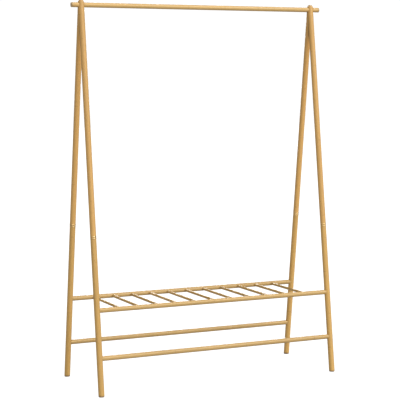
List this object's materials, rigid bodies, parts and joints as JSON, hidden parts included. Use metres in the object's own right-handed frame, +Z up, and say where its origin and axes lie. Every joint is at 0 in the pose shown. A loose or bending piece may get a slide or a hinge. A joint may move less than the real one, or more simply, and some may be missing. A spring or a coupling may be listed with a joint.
{
  "type": "clothes rack",
  "caption": "Free-standing bamboo clothes rack: A-frame ends of round rods, a hanging rail through their tops, and a slatted shelf over lower rails near the floor.",
  "frame": {"origin": "on the floor, midway between the four feet", "axes": "+X runs along the hanging rail, to the right as seen from the front; -Y is the front; +Z is up"},
  "size_m": [1.088, 0.4062, 1.4999],
  "materials": {
    "bamboo_leg": "clear satin lacquer",
    "bamboo_rail": "clear satin lacquer",
    "bamboo_slat": "clear satin lacquer",
    "bamboo_plug": "clear satin lacquer",
    "brass_band": "polished",
    "brass_insert": "plain turned",
    "zinc_steel": "zinc plated",
    "rubber_pad": "matt"
  },
  "bodies": {
    "root": {"top_rail": "bamboo_rail", "front_left_upper_leg": "bamboo_leg", "front_left_lower_leg": "bamboo_leg", "back_left_upper_leg": "bamboo_leg", "back_left_lower_leg": "bamboo_leg", "front_right_upper_leg": "bamboo_leg", "front_right_lower_leg": "bamboo_leg", "back_right_upper_leg": "bamboo_leg", "back_right_lower_leg": "bamboo_leg", "shelf_front_rail": "bamboo_rail", "shelf_back_rail": "bamboo_rail", "shelf_slat_01": "bamboo_slat", "shelf_slat_02": "bamboo_slat", "shelf_slat_03": "bamboo_slat", "shelf_slat_04": "bamboo_slat", "shelf_slat_05": "bamboo_slat", "shelf_slat_06": "bamboo_slat", "shelf_slat_07": "bamboo_slat", "shelf_slat_08": "bamboo_slat", "shelf_slat_09": "bamboo_slat", "shelf_slat_10": "bamboo_slat", "shelf_slat_11": "bamboo_slat", "lower_front_rail": "bamboo_rail", "lower_back_rail": "bamboo_rail", "leg_joint_bands": "brass_band", "leg_joint_studs": "zinc_steel", "leg_joint_inserts": "brass_insert", "rail_bolts": "zinc_steel", "rail_bolt_inserts": "brass_insert", "bolt_cover_plugs": "bamboo_plug", "apex_screws": "zinc_steel", "foot_pads": "rubber_pad"}
  },
  "joints": []
}
